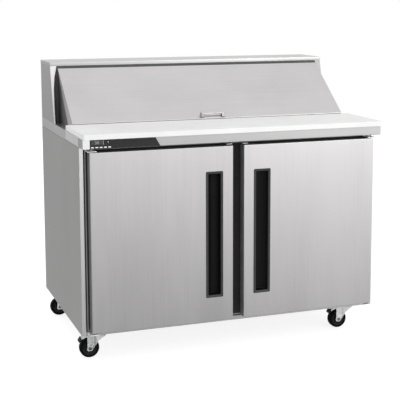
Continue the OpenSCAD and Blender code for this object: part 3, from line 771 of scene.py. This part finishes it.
def doors():
    """Both doors, drawn as the left one; the right one is its mirror image."""
    skin_lo, skin_hi = span("left_door_skin")
    seal_lo, seal_hi = span("left_door_gasket")
    grip_lo, grip_hi = span("left_door_handle")
    rect = (skin_lo[0], skin_lo[2], skin_hi[0], skin_hi[2])
    face, hem, back = skin_lo[1], skin_hi[1], span("left_door_core")[1][1]
    bezel = (grip_lo[0], grip_lo[2], grip_hi[0], grip_hi[2])
    cut = inset(bezel, 4)
    proud, depth = grip_lo[1], grip_hi[1] - 2

    def skin(bm):
        bend = 2.0
        turns = [math.radians(90 * k / 5) for k in range(6)]
        arc = [(bend * (1 - math.cos(u)), face + bend * (1 - math.sin(u))) for u in turns]
        levels = [(inset(rect, 1.0), 1.0, hem - 0.2), (inset(rect, 0.3), 1.6, hem)]
        levels += [(inset(rect, d), 2.4, t) for d, t in arc]
        levels += [(cut, 3, face), (inset(cut, 0.3), 3, face + 1.2), (inset(rect, 3), 1, face + 1.2),
                   (inset(rect, 1.2), 1, face + 2.6)]
        shell(bm, levels, closed=True)

    def core(bm):
        groove = [(1.4, hem - 1), (1.4, hem - 0.1), (0.2, hem + 0.3), (0.0, hem + 1.0), (0.0, hem + 9),
                  (1.1, hem + 9.8), (1.1, hem + 12.2), (0.0, hem + 13), (0.0, back - 7), (0.8, back - 6.2),
                  (0.8, back - 4.4), (0.0, back - 3.6), (0.0, back - 1.4), (0.5, back - 0.4), (1.6, back)]
        levels = [(cut, 3, depth + 2), (cut, 3, hem - 1)]
        levels += [(inset(rect, d), 2.2, t) for d, t in groove]
        levels += [(inset(rect, 26), 3, back), (inset(rect, 26.4), 3, back - 7)]
        shell(bm, levels)

    def liner(bm):
        dish = [(26.5, back - 0.3), (27, back), (38, back), (40, back - 0.3), (43, back - 1.4),
                (48, back - 4.2), (51, back - 5), (54, back - 5.2)]
        levels = [(inset(rect, 26.6), 8, back - 6.8)]
        levels += [(inset(rect, d), 12 if d < 40 else 18, t) for d, t in dish]
        shell(bm, levels)

    def gasket(bm):
        outer = (seal_lo[0], seal_lo[2], seal_hi[0], seal_hi[2])
        base, tip, width = seal_lo[1], seal_hi[1], 14.0
        left = [(2.0, base), (0.7, base + 1.0), (0.7, base + 1.6), (1.9, base + 2.4), (1.9, base + 2.9),
                (0.0, base + 3.7), (0.0, tip - 0.9), (0.9, tip)]
        profile = left + [(width - d, t) for d, t in reversed(left)]
        frame_loop(bm, outer, 1.5, profile, seg=2)

    def bezel_frame(bm):
        rim = [(0.0, face + 0.5), (0.0, proud + 1.2), (0.35, proud + 0.4), (1.3, proud)]
        levels = [(inset(bezel, 4.4), 3, face + 0.5)]
        levels += [(inset(bezel, d), 4.5 - d * 0.5, t) for d, t in rim]
        levels += [(inset(bezel, 3.2), 4, proud + 0.1), (inset(bezel, 7.6), 4, proud + 0.5),
                   (inset(bezel, 9.2), 4, proud + 1.4), (inset(bezel, 9.7), 4, proud + 3.4),
                   (inset(bezel, 8), 4, proud + 3.6)]
        shell(bm, levels, closed=True)

    def handle(bm):
        """Pocket that slopes in from the hinge side to a deep finger edge."""
        levels = [(inset(bezel, 4.4), 3, depth + 2), (inset(bezel, 4.4), 3, face + 0.6),
                  (inset(bezel, 8.2), 5, face + 0.6)]
        steps = 9
        x0, z0, x1, z1 = inset(bezel, 9.4)
        for k in range(steps + 1):
            u = k / steps
            slope = 29 * (1 - math.cos(u * math.pi / 2)) ** 0.8
            rect_k = (x0 + slope, z0 + 5 * u * u, x1 - 1.0 * u, z1 - 5 * u * u)
            levels.append((rect_k, 5, proud + 2.6 + (depth - 3 - proud) * math.sin(u * math.pi / 2)))
        shell(bm, levels)

    plans = (("skin", skin, STEEL_Z, 50), ("core", core, DARK, 35), ("liner", liner, LINER, 40),
             ("gasket", gasket, GASKET, 35), ("handle", handle, HANDLE, 40),
             ("handle_bezel", bezel_frame, BEZEL, 40))
    for side in ("left", "right"):
        for part, build, mat, angle in plans:
            node = "%s_door_%s" % (side, part)
            bm = bmesh.new()
            build(bm)
            mirror_to(bm, side)
            known = node in NODE_SLOT
            piece(node + "_shape", bm, side + "_door", mat, (node,) if known else (), angle)


doors()

# ---------------------------------------------------------------- interior and cooling


def wire_shelves():
    """Coated shelves: a rim, two cross rods and rows of thin wires."""
    lo, hi = span("left_wire_shelf")
    wide, thin = 2.6, 1.4
    z = lo[2] + wide
    for side in ("left", "right"):
        bm = bmesh.new()
        x0, x1, y0, y1 = lo[0] + wide, hi[0] - wide, lo[1] + wide, hi[1] - wide
        wire(bm, [(x, y, z) for x, y in rounded_rect((x0, y0, x1, y1), 9.0, 4)], wide, 8, closed=True)
        for y in (y0 + (y1 - y0) / 3, y0 + (y1 - y0) * 2 / 3):
            wire(bm, [(x0, y, z - 1), (x1, y, z - 1)], 2.2, 8)
        count = 20
        for i in range(1, count):
            x = x0 + (x1 - x0) * i / count
            wire(bm, [(x, y0 - 0.5, z + 1), (x, y0 + 3, z + 1.2), (x, y1 - 3, z + 1.2),
                      (x, y1 + 0.5, z + 1)], thin, 7)
        mirror_to(bm, side)
        node = side + "_wire_shelf"
        piece(node + "_wires", bm, "cabinet", WIRE, (node,), 50)


def fan_guard(name, centre, radius, y):
    """Wire rings in front of a fan, on four spokes."""
    bm = bmesh.new()
    for k in range(1, 6):
        loop = [(a, y, b) for a, b in polygon(radius * k / 5, 40, centre[0], centre[2])]
        wire(bm, loop, 1.0, 6, closed=True)
    for k in range(4):
        turn = math.pi * k / 4
        dx, dz = radius * math.cos(turn), radius * math.sin(turn)
        wire(bm, [(centre[0] - dx, y - 1.4, centre[2] - dz), (centre[0] + dx, y - 1.4, centre[2] + dz)],
             1.2, 6)
    piece(name, bm, "cabinet", WIRE, (), 50)


def middle_of(node):
    lo, hi = span(node)
    return [(a + b) / 2 for a, b in zip(lo, hi)]


def copper_lines():
    """Suction and discharge pipes between the compressor, the coils and the evaporator."""
    comp = middle_of("compressor")
    top = span("compressor")[1][2]
    coil_lo, coil_hi = span("condenser_unit")
    y = comp[1]
    runs = [
        [(comp[0] + 25, y, top - 26), (comp[0] + 25, y, top + 34), (comp[0] + 120, y + 8, top + 34),
         (coil_lo[0] - 60, y + 8, coil_hi[2] - 40), (coil_lo[0] - 12, y - 60, coil_hi[2] - 40),
         (coil_lo[0] + 2, y - 62, coil_hi[2] - 40)],
        [(comp[0] - 25, y, top - 26), (comp[0] - 25, y, top + 60), (comp[0] - 25, y - 40, top + 240),
         (-150, y - 62, 560), (-150, 225, 600)],
    ]
    bm = bmesh.new()
    for run in runs:
        soft = [Vector(run[0])]
        for p, q, s in zip(run, run[1:], run[2:]):
            p, q, s = Vector(p), Vector(q), Vector(s)
            r = min(24, (p - q).length / 2.2, (s - q).length / 2.2)
            a, b = q + (p - q).normalized() * r, q + (s - q).normalized() * r
            soft += [a.lerp(q, t).lerp(q.lerp(b, t), t) for t in (0, 0.25, 0.5, 0.75, 1)]
        soft.append(Vector(run[-1]))
        wire(bm, soft, 4.8, 12)
    piece("copper_lines", bm, "cabinet", COPPER, (), 50)


def coil_fins():
    """Thin upright fins across the condenser coil."""
    lo, hi = span("condenser_unit")
    bm = bmesh.new()
    count = 60
    x0, x1 = lo[0] + 5, hi[0] - 5
    for i in range(count + 1):
        x = x0 + (x1 - x0) * i / count
        box(bm, (x - 0.15, lo[1] + 0.3, lo[2] + 14), (x + 0.15, lo[1] + 37, hi[2] - 12))
    piece("condenser_fins", bm, "cabinet", COIL)


wire_shelves()
refined("shelf_standards", GALV, 0.3)
refined("evaporator_housing", LINER, 0.5)
refined("evaporator_fan", FAN, 0.4)
refined("compressor", COMP, 1.0)
refined("condenser_unit", COIL, 0.3)
refined("condenser_fan", FAN, 0.4)
fan_guard("evaporator_guard", middle_of("evaporator_fan"), 63, span("evaporator_housing")[0][1] - 1.4)
coil_fins()
copper_lines()
# hinge plates in the brightened zinc: painted highlight in the apron's shade
refined("hinge_brackets", PLATED_LIT, 0.6, 3)
refined("hinge_pins", PIN, 0.6)

# ---------------------------------------------------------------- casters

TRAIL = 40  # from the swivel axis to the wheel's axle
PEDAL_PIVOT = (-28, 0, 82)


def shifted(bm, x, y):
    for v in bm.verts:
        v.co.x += x * MM
        v.co.y += y * MM


def caster_fork(corner, x, y, axle_z, brake):
    """Pressed fork: crown with ball race, two legs with a raised front rib, axle bolt and nuts."""
    body, slot = "swivel_" + corner, NODE_SLOT["fork_" + corner]
    inner = 16.0
    outer = inner + 2.5
    leg = rounded_loop([(-50, 89), (24, 89), (24, 84), (-6, 66), (-15, 52), (-27, 36), (-31.5, 27),
                        (-48.5, 27), (-52, 34), (-50, 46)], (1, 3, 2, 14, 10, 6, 6.5, 6.5, 8, 10))
    bm = bmesh.new()
    for s in (-1, 1):
        plate(bm, leg, "Y", s * inner, s * outer)
    soft_box(bm, (-50, -outer, 87), (24, outer, 89.5), 3, 0.4, "Z", 3)
    crown = [(6, 97.6), (19, 97.6), (23.5, 97.0), (26, 95.4), (27, 93), (27, 89.6), (26.2, 87.6), (6, 87.2)]
    lathe(bm, [(r, z) for r, z in crown], "Z", (0, 0, 0), 48)
    shifted(bm, x, y)
    bevelled(piece("fork_%s_pressing" % corner, bm, body, FORK, ("fork_" + corner,), 40), 0.45, 3, 50)

    bm = bmesh.new()
    rib = rounded_loop([(-24, 86), (-15.2, 86), (-15.2, 53), (-27.5, 36), (-32.5, 41), (-24, 55)],
                       (3, 3, 10, 3, 3, 10))
    for s in (-1, 1):
        plate(bm, rib, "Y", s * (outer - 0.2), s * (outer + 1.3))
    for s in (-1, 1):
        plate(bm, polygon(7.2, 6, -TRAIL, axle_z), "Y", s * outer, s * (outer + 3.6))
        plate(bm, polygon(4, 18, -TRAIL, axle_z), "Y", s * (outer + 3.5), s * (outer + 4))
    lathe(bm, [(0.02, -outer), (4, -outer), (4, outer), (0.02, outer)], "Y", (-TRAIL, 0, axle_z), 24)
    if brake:
        lathe(bm, [(0.02, -outer - 1.5), (2.4, -outer - 1.5), (2.4, outer + 1.5), (0.02, outer + 1.5)],
              "Y", PEDAL_PIVOT, 20)
    shifted(bm, x, y)
    fixings = bevelled(piece("fork_%s_fixings" % corner, bm, body, STEEL_BRIGHT, (), 40), 0.4, 3, 50)
    # the faces round the axle take the dark copy: painted dark reflection on the bolt and nuts
    fixings.data.materials.append(STEEL_DARK_REFLECTION)
    axle = Vector((x - TRAIL, axle_z)) * MM
    for face in fixings.data.polygons:
        if (face.center.xz - axle).length < 7.8 * MM:
            face.material_index = 1


def caster_brake(side, x, y):
    """Pressed lever with a ribbed black toe pad."""
    node = "brake_" + side
    body = NODE_BODY[node]
    half = 14.4
    lever = rounded_loop([(-26, 86), (-46, 87.5), (-60, 86), (-73, 79), (-76, 75), (-72, 74), (-56, 81),
                          (-45, 82.5), (-30, 79)], (2, 8, 8, 8, 1, 4, 8, 8, 2))
    bm = bmesh.new()
    plate(bm, lever, "Y", -half, half)
    lathe(bm, [(2.45, -half), (4.6, -half), (4.6, half), (2.45, half)], "Y", PEDAL_PIVOT, 24)
    shifted(bm, x, y)
    bevelled(piece(node + "_lever", bm, body, FORK, (node,), 40), 0.6, 3, 40)
    pad = rounded_loop([(-71.5, 82), (-74.6, 79.2), (-81.4, 69), (-81.4, 62.2), (-78.8, 64.4), (-70.6, 73.6)],
                       (1, 5, 6, 0.8, 1, 1))
    bm = bmesh.new()
    plate(bm, pad, "Y", -half - 0.05, half + 0.05)
    shifted(bm, x, y)
    bevelled(piece(node + "_pad", bm, body, PEDAL, (), 40), 1.0, 3, 40)
    bm = bmesh.new()
    for k in range(5):
        y0 = -10.5 + 5.25 * k
        rib = [(-71.5, 81), (-73.8, 80.3), (-81.3, 70), (-80.3, 69)]
        plate(bm, rib, "Y", y0 - 0.9, y0 + 0.9)
    shifted(bm, x, y)
    bevelled(piece(node + "_ribs", bm, body, PEDAL, (), 40), 0.3, 2, 40)


def caster_top(bm, x, y, z):
    """Bolted top plate with its upper race."""
    holder = bmesh.new()
    soft_box(holder, (-48, -38, z - 3), (48, 38, z), 7, 0.6, "Z", 5)
    race = [(6, z - 3), (24, z - 3), (24.5, z - 4.4), (23, z - 7.4), (19, z - 8), (6, z - 8)]
    lathe(holder, race, "Z", (0, 0, 0), 40)
    lathe(holder, [(0.02, z - 8), (5, z - 8), (5, z - 22), (0.02, z - 22)], "Z", (0, 0, 0), 24)
    for px in (-38, 38):
        for py in (-28, 28):
            lathe(holder, [(0.02, z - 3), (8.5, z - 3), (8.5, z - 4), (0.02, z - 4)], "Z", (px, py, 0), 24)
            plate(holder, polygon(6, 6, px, py), "Z", z - 4, z - 7)
    shifted(holder, x, y)
    mesh = bpy.data.meshes.new("caster_top_part")
    bmesh.ops.recalc_face_normals(holder, faces=holder.faces)
    holder.to_mesh(mesh)
    holder.free()
    bm.from_mesh(mesh)
    bpy.data.meshes.remove(mesh)


def caster_wheel(corner, c, r, half):
    """Rubber tyre on a ribbed hub, turned round the axle at c."""
    node = "wheel_" + corner
    w = half - 1.5
    tyre = [(r - 10, -w + 0.8), (r - 4.4, -w), (r - 2.0, -w + 0.9), (r - 0.5, -w + 3), (r, -w + 6.5),
            (r, w - 6.5), (r - 0.5, w - 3), (r - 2.0, w - 0.9), (r - 4.4, w), (r - 10, w - 0.8)]
    hub = [(4.1, -w - 1.4), (9, -w - 1.4), (10.5, -w - 0.8), (11, -w + 3.6), (13, -w + 4.4),
           (r - 14, -w + 4.0), (r - 12, -w + 2.6), (r - 10.5, -w + 1.6), (r - 9.5, -w + 1.4)]
    bm = bmesh.new()
    lathe(bm, tyre, "Y", c, 72)
    piece(node + "_tyre", bm, NODE_BODY[node], WHEEL, (node,), 40)
    bm = bmesh.new()
    lathe(bm, hub + [(p, -q) for p, q in reversed(hub)], "Y", c, 48)
    for k in range(8):
        turn = math.pi * k / 4
        d = Vector((math.cos(turn), 0, math.sin(turn)))
        mid = Vector(c) + d * 18.5
        side = Vector((-d.z, 0, d.x))
        for s in (-1, 1):
            quad = [mid + d * a + side * b
                    for a, b in ((-7.5, -0.8), (7.0, -0.8), (7.0, 0.8), (-7.5, 0.8))]
            plate(bm, [(p.x, p.z) for p in quad], "Y", c[1] + s * (w - 6), c[1] + s * (w - 2.6))
    piece(node + "_hub", bm, NODE_BODY[node], HUB, (), 35)


def casters():
    tops = bmesh.new()
    plate_top = span("caster_plates")[1][2]
    for corner in ("front_left", "front_right", "rear_left", "rear_right"):
        lo, hi = span("wheel_" + corner)
        c = middle_of("wheel_" + corner)
        caster_wheel(corner, c, (hi[2] - lo[2]) / 2, (hi[1] - lo[1]) / 2)
        caster_fork(corner, c[0] + TRAIL, c[1], c[2], corner.startswith("front"))
        caster_top(tops, c[0] + TRAIL, c[1], plate_top)
    bevelled(piece("caster_top_plates", tops, "cabinet", ZINC,
                   ("caster_plates",), 40), 0.4, 2, 50)
    for side in ("left", "right"):
        c = middle_of("wheel_front_" + side)
        caster_brake(side, c[0] + TRAIL, c[1])


casters()

# ---------------------------------------------------------------- fixings


def cover_screws():
    """Domed screw heads on the riser's rear cover."""
    lo, hi = span("riser_rear_cover")
    radius, height = 3.4, 1.1
    dome = [(0.02, height), (radius * 0.5, height * 0.93), (radius * 0.82, height * 0.68),
            (radius * 0.98, height * 0.25), (radius, 0), (0.02, 0)]
    bm = bmesh.new()
    for x in (lo[0] + 14, 0, hi[0] - 14):
        for z in (lo[2] + 14, hi[2] - 14):
            lathe(bm, dome, "Y", (x, hi[1], z), 20)
    piece("cover_screws", bm, "cabinet", ZINC, (), 40)


cover_screws()

# flat faces shade evenly beside their bevelled edges
for obj in scene.objects:
    if obj.type == "MESH" and obj.name not in frame["nodes"]:
        even = obj.modifiers.new("even_shading", "WEIGHTED_NORMAL")
        even.keep_sharp = True

# ---------------------------------------------------------------- stage

# brightness of the room by height, from straight down (-1) to straight up (1)
ROOM_FRONT = ((-1, 0.5), (-0.64, 0.42), (-0.37, 0.1), (-0.2, 0.87), (-0.06, 1.52), (0.6, 1.35), (1, 0.95))
ROOM_BACK = ((-1, 0.5), (-0.4, 0.56), (-0.1, 0.5), (0.1, 0.95), (0.6, 0.8), (1, 0.95))
ROOM_TILT = 0.15  # the front's bands fall a little towards the right

bm = bmesh.new()
bmesh.ops.create_grid(bm, x_segments=1, y_segments=1, size=6)
mesh = bpy.data.meshes.new("floor")
bm.to_mesh(mesh)
bm.free()
floor = bpy.data.objects.new("floor", mesh)
scene.collection.objects.link(floor)
fm = Mat("floor_paint", (0.3, 0.3, 0.3), 0.85, Emission_Strength=0.8)
fm.b.inputs["Emission Color"].default_value = (1, 1, 1, 1)
fm.roughness(fm.noise(3), 0.05)
mesh.materials.append(fm.m)
floor.visible_glossy = False


def studio_world():
    """White behind the object for the camera; round it, a soft studio graded by height."""
    world = bpy.data.worlds.new("studio")
    scene.world = world
    world.use_nodes = True
    nt = world.node_tree
    nt.nodes.clear()
    out = nt.nodes.new("ShaderNodeOutputWorld")
    shown = nt.nodes.new("ShaderNodeMixShader")
    sides = nt.nodes.new("ShaderNodeMixShader")
    path = nt.nodes.new("ShaderNodeLightPath")
    coord = nt.nodes.new("ShaderNodeTexCoord")
    split = nt.nodes.new("ShaderNodeSeparateXYZ")
    tilt = nt.nodes.new("ShaderNodeMath")
    tilt.operation = "MULTIPLY_ADD"
    depth = nt.nodes.new("ShaderNodeMapRange")
    nt.links.new(coord.outputs["Generated"], split.inputs["Vector"])
    tilt.inputs[1].default_value = ROOM_TILT
    nt.links.new(split.outputs["X"], tilt.inputs[0])
    nt.links.new(split.outputs["Z"], tilt.inputs[2])
    depth.inputs["From Min"].default_value, depth.inputs["From Max"].default_value = -0.7, 0.7
    nt.links.new(split.outputs["Y"], depth.inputs["Value"])
    for slot, stops, level, shift in ((1, ROOM_FRONT, tilt.outputs["Value"], 0.35 * ROOM_TILT),
                                      (2, ROOM_BACK, split.outputs["Z"], 0)):
        height = nt.nodes.new("ShaderNodeMapRange")
        height.inputs["From Min"].default_value = shift - 1
        height.inputs["From Max"].default_value = shift + 1
        nt.links.new(level, height.inputs["Value"])
        ramp = nt.nodes.new("ShaderNodeValToRGB")
        light = nt.nodes.new("ShaderNodeBackground")
        cr = ramp.color_ramp
        while len(cr.elements) < len(stops):
            cr.elements.new(0.5)
        for e, (z, v) in zip(cr.elements, stops):
            e.position = (z + 1) / 2
            e.color = (v / 2, v / 2, v / 2, 1)
        light.inputs["Strength"].default_value = 2.0
        nt.links.new(height.outputs["Result"], ramp.inputs["Fac"])
        nt.links.new(ramp.outputs["Color"], light.inputs["Color"])
        nt.links.new(light.outputs["Background"], sides.inputs[slot])
    nt.links.new(depth.outputs["Result"], sides.inputs["Fac"])
    white = nt.nodes.new("ShaderNodeBackground")
    white.inputs["Color"].default_value = (1, 1, 1, 1)
    nt.links.new(path.outputs["Is Camera Ray"], shown.inputs["Fac"])
    nt.links.new(sides.outputs["Shader"], shown.inputs[1])
    nt.links.new(white.outputs["Background"], shown.inputs[2])
    nt.links.new(shown.outputs["Shader"], out.inputs["Surface"])


def softbox(name, loc, target, size, power, glossy=True):
    """Rectangular light aimed at a target, unseen by the camera."""
    light = bpy.data.lights.new(name, "AREA")
    light.shape = "RECTANGLE"
    light.size, light.size_y = size
    light.energy = power
    obj = bpy.data.objects.new(name, light)
    scene.collection.objects.link(obj)
    obj.location = loc
    obj.rotation_euler = (Vector(target) - Vector(loc)).to_track_quat("-Z", "Y").to_euler()
    obj.visible_camera = False
    obj.visible_glossy = glossy


studio_world()
softbox("overhead", (0, 0, 5.0), (0, 0, 0), (8.0, 8.0), 60, glossy=False)
softbox("front_right", (1.9, -2.6, 1.75), (0.1, -0.37, 0.8), (2.0, 1.6), 24)

# ---------------------------------------------------------------- camera

FRAME_PX, SENSOR = 400.0, 36.0
CABINET_FACE = -0.324
cam = bpy.data.cameras.new("camera")
cam_obj = bpy.data.objects.new("camera", cam)
scene.collection.objects.link(cam_obj)
cam.sensor_fit = "HORIZONTAL"
cam.sensor_width = SENSOR
cam.lens = 1037.0 / FRAME_PX * SENSOR
cam.shift_x = -24.4 / FRAME_PX
cam.shift_y = -60.0 / FRAME_PX
cam.clip_start, cam.clip_end = 0.1, 100.0
cam_obj.location = (-1.4244, CABINET_FACE - 3.7182, 1.3731)
yaw, pitch = math.radians(-20.41), math.radians(-7.83)
forward = Vector((-math.sin(yaw) * math.cos(pitch), math.cos(yaw) * math.cos(pitch), math.sin(pitch)))
cam_obj.rotation_mode = "QUATERNION"
cam_obj.rotation_quaternion = forward.to_track_quat("-Z", "Y")
scene.camera = cam_obj
scene.view_settings.view_transform = "Standard"
scene.view_settings.look = "None"
